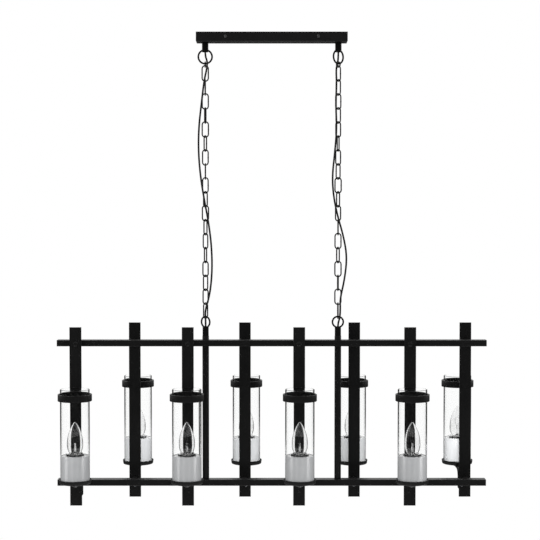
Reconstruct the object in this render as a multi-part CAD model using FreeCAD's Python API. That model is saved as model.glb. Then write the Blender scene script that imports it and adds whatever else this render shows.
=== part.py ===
import FreeCAD, Part
import math
import os

# Linear island pendant: a ceiling canopy, two chains with their cords, and a frame of two rails
# crossed by eight bars, four in front of the rails and four behind. Each bar carries a glass
# cylinder round a short candle sleeve and a candle bulb.
# Millimetres. The origin is the middle of the bracket's face on the ceiling. +Z is up, +X runs
# along the rails and -Y is the front.

Vec = FreeCAD.Vector
X_AXIS, Y_AXIS, Z_AXIS = Vec(1, 0, 0), Vec(0, 1, 0), Vec(0, 0, 1)

# ---- driving dimensions ------------------------------------------------------------------------

# canopy and bracket
hang_spacing = 300.0          # between the two chains
canopy_past_loop = 20.0       # from a chain's axis to the canopy's end
canopy_long = hang_spacing + 2 * canopy_past_loop
canopy_deep, canopy_high = 46.0, 21.0
canopy_wall = 1.2
canopy_edge_round = 1.0
bracket_long, bracket_thick, bracket_flange = 250.0, 1.5, 14.0
bracket_play = 0.4            # between the bracket's flanges and the canopy's walls
ceiling_slot_spacing, ceiling_slot_wide, ceiling_slot_long = 180.0, 5.2, 14.0
supply_hole_r = 10.0
side_screw_spacing, side_screw_r, side_screw_head_r = 208.0, 2.0, 3.6
side_screw_head_high, side_screw_reach = 2.2, 7.0
side_screw_below_ceiling = 10.0
terminal_x, terminal_long, terminal_wide, terminal_high = 30.0, 16.0, 26.0, 11.0
terminal_ways, terminal_bore_r = 3, 1.7
earth_screw_x, earth_screw_y, earth_screw_r, earth_screw_long = -40.0, 11.0, 2.0, 8.0
earth_screw_head_r, earth_screw_head_high = 3.8, 2.4

# suspension: loops, jump rings, chain links
canopy_collar_r, canopy_collar_high = 7.25, 22.0
canopy_ring_outer_r, canopy_ring_wire = 17.5, 4.0
canopy_ring_sink = 7.0        # how far the ring's top is let into its collar
nipple_r, nipple_high = 4.9, 6.5
locknut_flats, locknut_high = 14.0, 3.0
jump_ring_inner, link_wire = 8.5, 3.0
link_inner_long, link_outer_wide, links_per_chain = 31.8, 17.0, 18
lower_links = 2               # links that keep upright with the frame when the chain sways
link_gap = 0.3                # between two pieces of wire that hang in each other
frame_ring_outer_r, frame_ring_wire = 14.25, 4.0
frame_ring_sink = 4.0
frame_collar_r, frame_collar_high = 7.0, 21.0
frame_plug_high = 10.0
ring_turn = {"canopy_left": 0.0, "canopy_right": 43.0, "frame_left": -38.0, "frame_right": 0.0}
link_wobble, link_wobble_step = 20.0, 115.0   # degrees

# cords
cord_r, cord_bore_r = 2.1, 2.5
cord_in_collar = 8.0          # how far a cord reaches into the bore of each collar
lead_r = 1.0                  # a cord's cores, where its sheath ends

# rails and stems
rail_long, rail_deep, rail_high, rail_wall = 970.0, 25.0, 14.0, 1.2
rail_edge_round = 1.2
rail_spacing = 317.3          # between the two rails' centre lines
loop_to_rail = 9.3            # stem that shows between the loop's collar and the top rail
stem_r, stem_wall = 7.5, 1.2
stem_in_rail = 4.0            # how far a stem reaches into the bottom rail
cap_flange, cap_plug_long, cap_play = 1.2, 8.0, 0.1

# bars and what fastens them
bar_count, bar_pitch = 8, 125.0
bar_wide, bar_thick, bar_long, bar_edge_round = 26.4, 5.0, 402.0, 0.5
front_bar_above, back_bar_above = 38.2, 43.7   # top of a bar above the top rail's centre line
spacer_r, spacer_long, spacer_bore_r = 6.0, 22.0, 3.2
bolt_r, bolt_head_r, bolt_head_high, bolt_in_rail = 3.0, 6.2, 3.6, 7.0
sunk_head_r, sunk_head_deep = 6.0, 3.0        # of the lower bolts, flush under the arms
bar_aside = (-3, -2, -1, 1, -1, 2, -2, 7)     # how far each bar stands off the even pitch

# candles
candle_reach = 72.5           # from a bar's outer face to its candle's middle
candle_aside = (8.5, 0, 2, 2, 0, 0, -2, -7.5)   # from a bar's middle to its candle's, along X
ring_below_bar_top, ring_high, ring_outer_r, ring_thick = 156.0, 15.0, 37.4, 3.0
ring_arm_wide, ring_arm_high, ring_tab_wide, ring_tab_thick = 8.0, 10.0, 23.0, 2.5
ring_screw_offset, ring_screw_r, ring_screw_head_r, ring_screw_head_high = 8.0, 1.5, 2.8, 1.6
ring_screw_past = 2.0
dish_below_bar_top, dish_high, dish_thick = 338.1, 9.5, 1.5
dish_rim_r, dish_floor_r, dish_corner_round = 36.2, 33.2, 2.5
glass_r, glass_wall, glass_high = 32.2, 2.4, 206.0
glass_gap = 0.4               # under the glass where it stands in the dish
sleeve_r, sleeve_wall, sleeve_high, sleeve_hole_r = 29.4, 2.0, 61.0, 20.0
sleeve_shoulder = 3.0
holder_r, holder_high, holder_bore_r, holder_bore_deep = 13.0, 64.0, 7.4, 28.0
holder_mouth_r, holder_mouth_deep = 12.0, 4.0     # wider mouth, for the bulb's neck
holder_lobes, holder_lobe_r, holder_star_r, holder_star_thick = 8, 3.4, 15.4, 4.0
holder_nipple_r, holder_nipple_high, holder_nut_flats, holder_nut_high = 4.9, 9.0, 14.0, 3.0
arm_wide, arm_thick, arm_bend_r, arm_past_dish_middle = 16.0, 3.0, 22.0, 12.0
arm_leg_below_rail = 24.0     # lower end of an arm's leg under the bottom rail's centre line
arm_end_round = 5.0
arm_screw_below_rail, arm_screw_r, arm_screw_head_r, arm_screw_head_high = 13.5, 2.0, 3.5, 2.2
arm_nut_flats, arm_nut_high = 7.0, 3.2

# bulb
bulb_r, bulb_neck_r, bulb_glass_high, bulb_glass_wall = 17.5, 7.6, 74.0, 0.8
bulb_cap_r, bulb_cap_high, bulb_contact_r, bulb_contact_high = 7.0, 20.0, 3.6, 3.5
bulb_stem_r, bulb_stem_high = 2.4, 26.0
bulb_belly_share, bulb_tip_r = 0.34, 1.6
bulb_cap_sink = 3.4           # from the lampholder's top down to the end of the bulb's cap
play = 0.1                    # radial, round a shank or a plug that is fixed in its hole

# ---- places that follow from them --------------------------------------------------------------

hang_x = {"left": -hang_spacing / 2, "right": hang_spacing / 2}

canopy_collar_bottom = -canopy_high - canopy_collar_high
canopy_ring_mid_r = canopy_ring_outer_r - canopy_ring_wire / 2
canopy_ring_z = canopy_collar_bottom + canopy_ring_sink - canopy_ring_outer_r
swing_z = canopy_ring_z - canopy_ring_mid_r            # middle of the ring's lowest wire

jump_ring_mid_r = (jump_ring_inner + link_wire) / 2
wire_step = link_wire + link_gap
jump_ring_z = swing_z + (canopy_ring_wire + link_wire) / 2 + link_gap - jump_ring_mid_r
sway_z = jump_ring_z - jump_ring_mid_r                 # middle of the jump ring's lowest wire

link_mid_long = link_inner_long + link_wire
link_pitch = link_mid_long - wire_step
first_link_z = sway_z + wire_step - link_mid_long / 2


def link_z(index):
    """Middle of a link, counted from the top."""
    return first_link_z - index * link_pitch


upper_links = links_per_chain - lower_links
lower_sway_z = link_z(upper_links - 1) - link_mid_long / 2
last_wire_z = link_z(links_per_chain - 1) - link_mid_long / 2

frame_ring_mid_r = frame_ring_outer_r - frame_ring_wire / 2
tilt_z = last_wire_z + (frame_ring_wire + link_wire) / 2 + link_gap
frame_ring_z = tilt_z - frame_ring_mid_r
frame_collar_top = frame_ring_z - frame_ring_outer_r + frame_ring_sink
frame_collar_bottom = frame_collar_top - frame_collar_high

top_rail_z = frame_collar_bottom - loop_to_rail - rail_high / 2
bottom_rail_z = top_rail_z - rail_spacing
rail_side = rail_deep / 2
arm_screw_z = bottom_rail_z - arm_screw_below_rail
stem_bottom = bottom_rail_z + rail_high / 2 - rail_wall - stem_in_rail

bar_inner = rail_side + spacer_long                    # distance of a bar's inner face from Y=0
bar_outer = bar_inner + bar_thick
candle_y = bar_outer + candle_reach


def bar_x(number):
    """Bars are numbered from 1 at the left end."""
    return (number - (bar_count + 1) / 2) * bar_pitch + bar_aside[number - 1]


def candle_x(number):
    return bar_x(number) + candle_aside[number - 1]


def bar_side(number):
    """-1 for a bar in front of the rails, +1 for one behind them."""
    return -1 if number % 2 else 1


def bar_top(number):
    return top_rail_z + (front_bar_above if bar_side(number) < 0 else back_bar_above)


def dish_bottom(number):
    return bar_top(number) - dish_below_bar_top


def dish_floor(number):
    return dish_bottom(number) + dish_thick


def candle_middle(number):
    return Vec(candle_x(number), bar_side(number) * candle_y, 0)


# ---- small makers ------------------------------------------------------------------------------


def block(size, low):
    """Box with its lowest corner at low."""
    return Part.makeBox(size[0], size[1], size[2], Vec(*low))


def middle_block(size, middle):
    return block(size, [m - s / 2 for m, s in zip(middle, size)])


def rod(radius, start, end):
    """Solid cylinder from start to end."""
    start, end = Vec(*start), Vec(*end)
    return Part.makeCylinder(radius, (end - start).Length, start, end - start)


def pipe(outer_r, inner_r, start, end):
    return rod(outer_r, start, end).cut(rod(inner_r, start, end))


def hex_nut(flats, bore_r, start, end):
    """Six-sided nut from start to end, with its bore."""
    start, end = Vec(*start), Vec(*end)
    corner_r = flats / math.sqrt(3)
    across = Z_AXIS if abs((end - start).z) < 1e-6 else X_AXIS
    along = (end - start).normalize()
    side = along.cross(across)
    corners = []
    for turn in range(6):
        angle = math.radians(60 * turn)
        corners.append(start + across * corner_r * math.cos(angle) + side * corner_r * math.sin(angle))
    face = Part.Face(Part.makePolygon(corners + corners[:1]))
    return face.extrude(end - start).cut(rod(bore_r, start, end))


def dome_head(radius, high, seat, outward):
    """Low round head of a bolt: part of a ball that stands on seat and points outward."""
    seat, outward = Vec(*seat), Vec(*outward)
    ball_r = (radius * radius + high * high) / (2 * high)
    ball = Part.makeSphere(ball_r, seat + outward * (high - ball_r))
    return ball.common(Part.makeCylinder(radius, high, seat, outward))


def turned(profile, middle):
    """Solid of revolution about a vertical line: profile is (radius, height) points or an edge list."""
    edges = [item for item in profile if isinstance(item, Part.Edge)]
    if not edges:
        points = [Vec(radius, 0, height) for radius, height in profile]
        edges = Part.makePolygon(points + points[:1]).Edges
    solid = Part.Face(Part.Wire(edges)).revolve(Vec(0, 0, 0), Z_AXIS, 360)
    solid.translate(middle)
    return solid


def line(start, end):
    return Part.LineSegment(Vec(*start), Vec(*end)).toShape()


def arc(start, middle, end):
    return Part.Arc(Vec(*start), Vec(*middle), Vec(*end)).toShape()


def wire_ring(mid_r, wire, centre, yaw):
    """Closed ring of round wire that stands upright, its face turned by yaw from the front."""
    ring = Part.makeTorus(mid_r, wire / 2, Vec(0, 0, 0), Y_AXIS)
    ring.rotate(Vec(0, 0, 0), Z_AXIS, yaw)
    ring.translate(Vec(*centre))
    return ring


def as_solid(shape):
    """The single solid of a shape that was joined from several."""
    return shape.removeSplitter().Solids[0]


def group(solids):
    return Part.makeCompound(solids)


# ---- canopy and bracket ------------------------------------------------------------------------


def side_screw_places():
    """(x, direction of the head) of the four screws that hold the canopy on its bracket."""
    return [(side * side_screw_spacing / 2, front) for front in (-1, 1) for side in (-1, 1)]


def ceiling_bracket():
    """Channel on the ceiling, open downwards, with two slots for the ceiling screws."""
    half = canopy_deep / 2 - canopy_wall - bracket_play
    solid = block((bracket_long, 2 * half, bracket_flange), (-bracket_long / 2, -half, -bracket_flange))
    inner = half - bracket_thick
    solid = solid.cut(block((bracket_long, 2 * inner, bracket_flange),
                            (-bracket_long / 2, -inner, -bracket_flange - bracket_thick)))
    straight = (ceiling_slot_long - ceiling_slot_wide) / 2
    for side in (-1, 1):
        middle = side * ceiling_slot_spacing / 2
        for end in (-straight, straight):
            solid = solid.cut(rod(ceiling_slot_wide / 2, (middle + end, 0, 1), (middle + end, 0, -3)))
        solid = solid.cut(middle_block((2 * straight, ceiling_slot_wide, 8), (middle, 0, 0)))
    solid = solid.cut(rod(supply_hole_r, (0, 0, 1), (0, 0, -3)))
    earth = rod(earth_screw_r + play, (earth_screw_x, earth_screw_y, 1), (earth_screw_x, earth_screw_y, -3))
    solid = solid.cut(earth)
    for x, front in side_screw_places():
        solid = solid.cut(rod(side_screw_r + play, (x, 0, -side_screw_below_ceiling),
                              (x, front * canopy_deep, -side_screw_below_ceiling)))
    return as_solid(solid)


def canopy():
    """Folded steel box, open at the ceiling, with holes for the loops and the side screws."""
    shell = middle_block((canopy_long, canopy_deep, canopy_high), (0, 0, -canopy_high / 2))
    rounded = [edge for edge in shell.Edges if edge.BoundBox.ZMin < -1]
    shell = shell.makeFillet(canopy_edge_round, rounded)
    shell = shell.cut(middle_block(
        (canopy_long - 2 * canopy_wall, canopy_deep - 2 * canopy_wall, canopy_high),
        (0, 0, canopy_wall - canopy_high / 2)))
    for x in hang_x.values():
        shell = shell.cut(rod(nipple_r + play, (x, 0, 0), (x, 0, -2 * canopy_high)))
    for x, front in side_screw_places():
        shell = shell.cut(rod(side_screw_r + play, (x, 0, -side_screw_below_ceiling),
                              (x, front * canopy_deep, -side_screw_below_ceiling)))
    return as_solid(shell)


def canopy_screws():
    """Round-headed screws through the canopy's long walls into the bracket's flanges."""
    face = canopy_deep / 2
    screws = []
    for x, front in side_screw_places():
        seat = (x, front * face, -side_screw_below_ceiling)
        tip = (x, front * (face - side_screw_reach), -side_screw_below_ceiling)
        head = dome_head(side_screw_head_r, side_screw_head_high, seat, (0, front, 0))
        head = head.cut(middle_block((1.0, 2.0, 5.0), (x, front * (face + side_screw_head_high), seat[2])))
        screws.append(as_solid(head.fuse(rod(side_screw_r, seat, tip))))
    return group(screws)


def canopy_loop(side):
    """Turned collar with a threaded nipple above it and a wire ring let into it below."""
    x = hang_x[side]
    collar = rod(canopy_collar_r, (x, 0, -canopy_high), (x, 0, canopy_collar_bottom))
    collar = collar.makeFillet(0.8, [e for e in collar.Edges if abs(e.BoundBox.ZMax - canopy_collar_bottom) < 0.01])
    nipple_top = -canopy_high + canopy_wall + nipple_high
    nipple = rod(nipple_r, (x, 0, -canopy_high), (x, 0, nipple_top))
    ring = wire_ring(canopy_ring_mid_r, canopy_ring_wire, (x, 0, canopy_ring_z), ring_turn["canopy_" + side])
    bore = rod(cord_bore_r, (x, 0, nipple_top), (x, 0, canopy_collar_bottom - 0.5))
    return as_solid(collar.fuse([nipple, ring]).cut(bore))


def canopy_locknuts():
    bottom = -canopy_high + canopy_wall
    return group([hex_nut(locknut_flats, nipple_r + play, (x, 0, bottom), (x, 0, bottom + locknut_high))
                  for x in hang_x.values()])


def terminal_block():
    """Insulating block under the bracket, one through bore and two screw wells for each way."""
    top = -bracket_thick
    solid = middle_block((terminal_long, terminal_wide, terminal_high), (terminal_x, 0, top - terminal_high / 2))
    way = terminal_wide / terminal_ways
    for number in range(terminal_ways):
        y = (number - (terminal_ways - 1) / 2) * way
        z = top - terminal_high / 2
        solid = solid.cut(rod(terminal_bore_r, (terminal_x - terminal_long, y, z), (terminal_x + terminal_long, y, z)))
        for end in (-1, 1):
            x = terminal_x + end * terminal_long / 4
            solid = solid.cut(rod(terminal_bore_r, (x, y, z), (x, y, top - terminal_high)))
    return as_solid(solid)


def earth_screw():
    x, y, under = earth_screw_x, earth_screw_y, -bracket_thick
    head = rod(earth_screw_head_r, (x, y, under), (x, y, under - earth_screw_head_high))
    return as_solid(head.fuse(rod(earth_screw_r, (x, y, -play), (x, y, -earth_screw_long))))


# ---- chains ------------------------------------------------------------------------------------


def oval_link(centre, yaw):
    """Welded link: two straight wires and two half rings, upright, its face turned by yaw."""
    mid_r = (link_outer_wide - link_wire) / 2
    straight = link_mid_long / 2 - mid_r
    pieces = [rod(link_wire / 2, (side * mid_r, 0, -straight), (side * mid_r, 0, straight)) for side in (-1, 1)]
    for end in (-1, 1):
        section = Part.Face(Part.Wire(Part.makeCircle(link_wire / 2, Vec(mid_r, 0, end * straight), Z_AXIS)))
        pieces.append(section.revolve(Vec(0, 0, end * straight), Vec(0, -end, 0), 180))
    link = as_solid(pieces[0].fuse(pieces[1:]))
    link.rotate(Vec(0, 0, 0), Z_AXIS, yaw)
    link.translate(Vec(*centre))
    return link


def link_yaw(side, index):
    """Every second link is crossed; the chain's twist runs from ring to ring, and links lie uneasily."""
    along = index / (links_per_chain - 1)
    start, end = ring_turn["canopy_" + side], ring_turn["frame_" + side]
    phase = 0 if side == "left" else 60
    uneasy = link_wobble * math.sin(math.radians(link_wobble_step * index + phase)) * math.sin(math.pi * along)
    return start + (end - start) * along + 90 * (index % 2) + uneasy


def chain_links(side, first, last):
    return group([oval_link((hang_x[side], 0, link_z(i)), link_yaw(side, i)) for i in range(first, last)])


def jump_ring(side):
    """Small ring that joins the first link to the canopy's ring, crossed to both."""
    return wire_ring(jump_ring_mid_r, link_wire, (hang_x[side], 0, jump_ring_z), ring_turn["canopy_" + side] + 90)


def frame_loop(side):
    """Wire ring on a collar whose plug sits in the top of the stem."""
    x = hang_x[side]
    collar = rod(frame_collar_r, (x, 0, frame_collar_bottom), (x, 0, frame_collar_top))
    collar = collar.makeFillet(1.0, [e for e in collar.Edges if abs(e.BoundBox.ZMin - frame_collar_top) < 0.01])
    plug_r = stem_r - stem_wall - play
    plug = rod(plug_r, (x, 0, frame_collar_bottom), (x, 0, frame_collar_bottom - frame_plug_high))
    ring = wire_ring(frame_ring_mid_r, frame_ring_wire, (x, 0, frame_ring_z), ring_turn["frame_" + side])
    bore = rod(cord_bore_r, (x, 0, frame_collar_top + 0.5), (x, 0, frame_collar_bottom - frame_plug_high))
    return as_solid(collar.fuse([plug, ring]).cut(bore))


# ---- cords -------------------------------------------------------------------------------------
# A route's points are (across, towards the back, height) from its chain's line, chosen by eye.
# The points beside a ring turn with that ring.

near_canopy_ring = [(0, 0, canopy_collar_bottom + cord_in_collar), (0, 0, -52.0), (5.0, -6.5, -64.0),
                    (4.5, -11.5, -80.0)]
near_frame_ring = [(6.0, -8.5, -625.0), (4.6, -5.6, -644.0), (0, 0, -656.0),
                   (0, 0, frame_collar_top - cord_in_collar)]
left_route = [(-2.0, -12.5, -108.0), (-8.0, -11.0, -158.0), (-14.5, -7.0, -212.0), (-15.5, -5.5, -268.0),
              (-10.5, -9.0, -325.0), (-2.0, -12.5, -376.0), (7.5, -12.0, -426.0), (14.0, -8.0, -479.0),
              (15.5, -7.0, -535.0), (10.5, -9.5, -588.0)]
right_route = [(-3.0, 13.0, -110.0), (-5.0, 12.5, -160.0), (-2.5, 12.5, -214.0), (-7.0, 11.5, -268.0),
               (-13.0, 8.5, -322.0), (-10.0, 10.5, -366.0), (-1.0, 13.0, -410.0), (12.5, 9.5, -456.0),
               (21.0, 5.5, -504.0), (15.5, 8.0, -556.0), (5.5, 11.5, -600.0)]


def turned_points(points, yaw, mirror):
    """Points turned about the chain's line with a ring, and put behind it where mirror is -1."""
    c, s = math.cos(math.radians(yaw)), math.sin(math.radians(yaw))
    return [(c * x - s * mirror * y, s * x + c * mirror * y, z) for x, y, z in points]


def cord_route(side):
    """The whole route of one cord, from the canopy's collar to the frame's."""
    middle, mirror = (left_route, 1) if side == "left" else (right_route, -1)
    offsets = (turned_points(near_canopy_ring, ring_turn["canopy_" + side], mirror) + middle
               + turned_points(near_frame_ring, ring_turn["frame_" + side], mirror))
    return [Vec(hang_x[side] + x, y, z) for x, y, z in offsets]


def tube_path(points):
    """Straight runs joined by tangent arcs. An arc's radius is 0.45 of the shorter run, divided by
    the tangent of half the turn. Returns the edges and the radii."""
    edges, radii, start = [], [], points[0]
    for before, corner, after in zip(points, points[1:], points[2:]):
        to_corner, from_corner = corner - before, after - corner
        half_turn = to_corner.getAngle(from_corner) / 2
        back = 0.45 * min(to_corner.Length, from_corner.Length)
        to_corner.normalize(), from_corner.normalize()
        arc_start, arc_end = corner - to_corner * back, corner + from_corner * back
        radius = back / math.tan(half_turn)
        inward = (from_corner - to_corner).normalize()
        crown = corner + inward * (radius / math.cos(half_turn) - radius)
        edges += [line(start, arc_start), arc(arc_start, crown, arc_end)]
        radii.append(radius)
        start = arc_end
    return edges + [line(start, points[-1])], radii


def tube(points, radius, name):
    """Round tube along a route, with its radii and its volume printed as a check."""
    edges, radii = tube_path(points)
    first = (points[1] - points[0]).normalize()
    section = Part.Wire(Part.makeCircle(radius, points[0], first))
    solid = Part.Wire(edges).makePipeShell([section], True, False)
    length = sum(edge.Length for edge in edges)
    share = solid.Volume / (math.pi * radius ** 2 * length)
    print(name, "length", round(length, 1), "least radius", round(min(radii), 1),
          "radii", [round(r) for r in radii], "volume share", round(share, 4), "valid", solid.isValid())
    return solid


def cord(side):
    return tube(cord_route(side), cord_r, "cord_" + side)


def canopy_leads():
    """The cords' cores inside the canopy: up from the sheath's end, over, and along to the block."""
    lead_z = -bracket_thick - terminal_high / 2
    nipple_top = -canopy_high + canopy_wall + nipple_high
    leads = []
    for side, x in hang_x.items():
        inward = 1 if x < 0 else -1
        face = terminal_x - inward * terminal_long / 2
        points = [Vec(x, 0, canopy_collar_bottom + cord_in_collar), Vec(x, 0, nipple_top + 2.0),
                  Vec(x + inward * 5.0, 0, lead_z - 1.0), Vec(x + inward * 20.0, 0, lead_z), Vec(face, 0, lead_z)]
        leads.append(tube(points, lead_r, "lead_" + side))
    return group(leads)


def stem_leads():
    """The cords' cores inside the stems, down to the bottom rail."""
    top = frame_collar_top - cord_in_collar
    return group([rod(lead_r, (x, 0, top), (x, 0, stem_bottom)) for x in hang_x.values()])


# ---- rails and stems ---------------------------------------------------------------------------


def rail(z, stem_walls):
    """Rectangular tube, drilled for the stems and, on each side, for that side's bolts."""
    solid = middle_block((rail_long, rail_deep, rail_high), (0, 0, z))
    long_edges = [edge for edge in solid.Edges if edge.BoundBox.XLength > rail_long - 1]
    solid = solid.makeFillet(rail_edge_round, long_edges)
    solid = solid.cut(middle_block((rail_long + 2, rail_deep - 2 * rail_wall, rail_high - 2 * rail_wall), (0, 0, z)))
    for x in hang_x.values():
        bottom = z - rail_high if stem_walls == 2 else z
        solid = solid.cut(rod(stem_r + play, (x, 0, z + rail_high), (x, 0, bottom)))
    for number in range(1, bar_count + 1):
        x, side = bar_x(number), bar_side(number)
        solid = solid.cut(rod(bolt_r + play, (x, 0, z), (x, side * rail_deep, z)))
    return as_solid(solid)


def rail_end_caps():
    """Plugs in the rails' four open ends."""
    caps = []
    for z in (top_rail_z, bottom_rail_z):
        for side in (-1, 1):
            face = side * rail_long / 2
            flange = middle_block((cap_flange, rail_deep, rail_high), (face + side * cap_flange / 2, 0, z))
            flange = flange.makeFillet(
                rail_edge_round, [e for e in flange.Edges if e.BoundBox.XLength > cap_flange - 0.01])
            wide, high = (size - 2 * rail_wall - 2 * cap_play for size in (rail_deep, rail_high))
            plug = middle_block((cap_plug_long, wide, high), (face - side * cap_plug_long / 2, 0, z))
            caps.append(as_solid(flange.fuse(plug)))
    return group(caps)


def stem(side):
    """Tube that carries the bottom rail and the wires, from the loop's collar to that rail."""
    x = hang_x[side]
    return pipe(stem_r, stem_r - stem_wall, (x, 0, stem_bottom), (x, 0, frame_collar_bottom))


# ---- bars and their bolts ----------------------------------------------------------------------


def bar(number):
    """Flat bar, drilled for its two bolts, its ring's two screws and its arm's screw."""
    x, side, top = bar_x(number), bar_side(number), bar_top(number)
    middle_y = side * (bar_inner + bar_outer) / 2
    solid = middle_block((bar_wide, bar_thick, bar_long), (x, middle_y, top - bar_long / 2))
    upright = [edge for edge in solid.Edges if edge.BoundBox.ZLength > bar_long - 1]
    solid = solid.makeFillet(bar_edge_round, upright)
    holes = [(x, top_rail_z, bolt_r), (x, bottom_rail_z, bolt_r), (candle_x(number), arm_screw_z, arm_screw_r)]
    holes += [(x + end * ring_screw_offset, ring_middle(number), ring_screw_r) for end in (-1, 1)]
    for hole_x, z, radius in holes:
        solid = solid.cut(rod(radius + play, (hole_x, side * (bar_inner - 1), z), (hole_x, side * (bar_outer + 1), z)))
    return as_solid(solid.cut(sunk_head(number, play)))


def sunk_head(number, room):
    """Cone of a lower bolt's head, flush with the bar's outer face, made larger by room."""
    side = bar_side(number)
    return Part.makeCone(sunk_head_r + room, bolt_r + room, sunk_head_deep,
                         Vec(bar_x(number), side * bar_outer, bottom_rail_z), Vec(0, -side, 0))


def bar_spacers():
    """Tubes that hold each bar off the rails."""
    tubes = []
    for number in range(1, bar_count + 1):
        x, side = bar_x(number), bar_side(number)
        for z in (top_rail_z, bottom_rail_z):
            tubes.append(pipe(spacer_r, spacer_bore_r, (x, side * rail_side, z), (x, side * bar_inner, z)))
    return group(tubes)


def bar_bolts():
    """Bolts through bar and spacer into the rail: dome-headed above, and flush where the arm covers them."""
    bolts = []
    for number in range(1, bar_count + 1):
        x, side = bar_x(number), bar_side(number)
        heads = [(top_rail_z, dome_head(bolt_head_r, bolt_head_high, (x, side * bar_outer, top_rail_z), (0, side, 0))),
                 (bottom_rail_z, sunk_head(number, 0))]
        for z, head in heads:
            shank = rod(bolt_r, (x, side * bar_outer, z), (x, side * (rail_side - bolt_in_rail), z))
            bolts.append(as_solid(head.fuse(shank)))
    return group(bolts)


# ---- candles -----------------------------------------------------------------------------------


def ring_middle(number):
    return bar_top(number) - ring_below_bar_top + ring_high / 2


def glass_ring(number):
    """Band round the glass, welded to an arm whose tab is screwed to the bar."""
    middle, side, z = candle_middle(number), bar_side(number), ring_middle(number)
    x, y = middle.x, middle.y
    inner_r = ring_outer_r - ring_thick
    low, high = (x, y, z - ring_high / 2), (x, y, z + ring_high / 2)
    near = side * (bar_outer + ring_tab_thick / 2)
    far = y - side * (inner_r - ring_thick)
    tab = middle_block((ring_tab_wide, ring_tab_thick, ring_high), (bar_x(number), near, z))
    strut = middle_block((ring_arm_wide, abs(far - near), ring_arm_high),
                         (bar_x(number), (near + far) / 2, z))
    solid = rod(ring_outer_r, low, high).fuse([tab, strut]).cut(rod(inner_r, low, high))
    for end in (-1, 1):
        screw_x = bar_x(number) + end * ring_screw_offset
        solid = solid.cut(rod(ring_screw_r + play, (screw_x, side * (bar_outer - 1), z),
                              (screw_x, side * (bar_outer + ring_tab_thick + 1), z)))
    return as_solid(solid)


def ring_screws():
    screws = []
    for number in range(1, bar_count + 1):
        side, z = bar_side(number), ring_middle(number)
        for end in (-1, 1):
            x = bar_x(number) + end * ring_screw_offset
            seat = (x, side * (bar_outer + ring_tab_thick), z)
            head = dome_head(ring_screw_head_r, ring_screw_head_high, seat, (0, side, 0))
            shank = rod(ring_screw_r, seat, (x, side * (bar_inner - ring_screw_past), z))
            screws.append(as_solid(head.fuse(shank)))
    return group(screws)


def candle_arm(number):
    """Bent strip: a leg on the bar's outer face, a bend, and a foot under the dish."""
    middle, side = candle_middle(number), bar_side(number)
    x, top = middle.x, dish_bottom(number)
    leg_bottom = bottom_rail_z - arm_leg_below_rail
    turn_y, end_y = bar_outer + arm_bend_r, abs(middle.y) + arm_past_dish_middle
    slope = math.sqrt(0.5)

    def at(y, z):
        return (x - arm_wide / 2, side * y, z)

    inner_r = arm_bend_r - arm_thick
    turn_z = top - arm_bend_r
    edges = [
        line(at(bar_outer, leg_bottom), at(bar_outer, turn_z)),
        arc(at(bar_outer, turn_z), at(turn_y - arm_bend_r * slope, turn_z + arm_bend_r * slope), at(turn_y, top)),
        line(at(turn_y, top), at(end_y, top)),
        line(at(end_y, top), at(end_y, top - arm_thick)),
        line(at(end_y, top - arm_thick), at(turn_y, top - arm_thick)),
        arc(at(turn_y, top - arm_thick), at(turn_y - inner_r * slope, turn_z + inner_r * slope),
            at(bar_outer + arm_thick, turn_z)),
        line(at(bar_outer + arm_thick, turn_z), at(bar_outer + arm_thick, leg_bottom)),
        line(at(bar_outer + arm_thick, leg_bottom), at(bar_outer, leg_bottom)),
    ]
    strip = Part.Face(Part.Wire(edges)).extrude(Vec(arm_wide, 0, 0))
    corners = [e for e in strip.Edges
               if abs(e.Length - arm_thick) < 0.01 and abs(e.BoundBox.XLength) < 0.01]
    strip = strip.makeFillet(arm_end_round, corners)
    strip = strip.cut(rod(arm_screw_r + play, (x, side * (bar_outer - 1), arm_screw_z),
                          (x, side * (bar_outer + arm_thick + 1), arm_screw_z)))
    strip = strip.cut(rod(holder_nipple_r + play, (x, middle.y, top + 1), (x, middle.y, top - arm_thick - 1)))
    return as_solid(strip)


def arm_screws():
    """Small screws through the arms' legs, below the rail."""
    screws = []
    for number in range(1, bar_count + 1):
        x, side = candle_x(number), bar_side(number)
        seat = (x, side * (bar_outer + arm_thick), arm_screw_z)
        head = dome_head(arm_screw_head_r, arm_screw_head_high, seat, (0, side, 0))
        shank = rod(arm_screw_r, seat, (x, side * (bar_inner - arm_nut_high - 1), arm_screw_z))
        screws.append(as_solid(head.fuse(shank)))
    return group(screws)


def arm_nuts():
    nuts = []
    for number in range(1, bar_count + 1):
        x, side = candle_x(number), bar_side(number)
        nuts.append(hex_nut(arm_nut_flats, arm_screw_r + play, (x, side * bar_inner, arm_screw_z),
                            (x, side * (bar_inner - arm_nut_high), arm_screw_z)))
    return group(nuts)


def candle_dish(number):
    """Shallow cup with a rounded corner and a wall that flares to its rim."""
    middle, bottom = candle_middle(number), dish_bottom(number)
    hole_r = holder_nipple_r + play
    floor_r, round_r, rim_r = dish_floor_r, dish_corner_round, dish_rim_r
    outer_r = floor_r + dish_thick
    slope = math.sqrt(0.5)
    profile = [
        line((hole_r, 0, 0), (outer_r - round_r, 0, 0)),
        arc((outer_r - round_r, 0, 0), (outer_r - round_r + round_r * slope, 0, round_r - round_r * slope),
            (outer_r, 0, round_r)),
        line((outer_r, 0, round_r), (rim_r, 0, dish_high)),
        line((rim_r, 0, dish_high), (rim_r - dish_thick, 0, dish_high)),
        line((rim_r - dish_thick, 0, dish_high), (floor_r, 0, dish_thick)),
        line((floor_r, 0, dish_thick), (hole_r, 0, dish_thick)),
        line((hole_r, 0, dish_thick), (hole_r, 0, 0)),
    ]
    return turned(profile, Vec(middle.x, middle.y, bottom))


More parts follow.
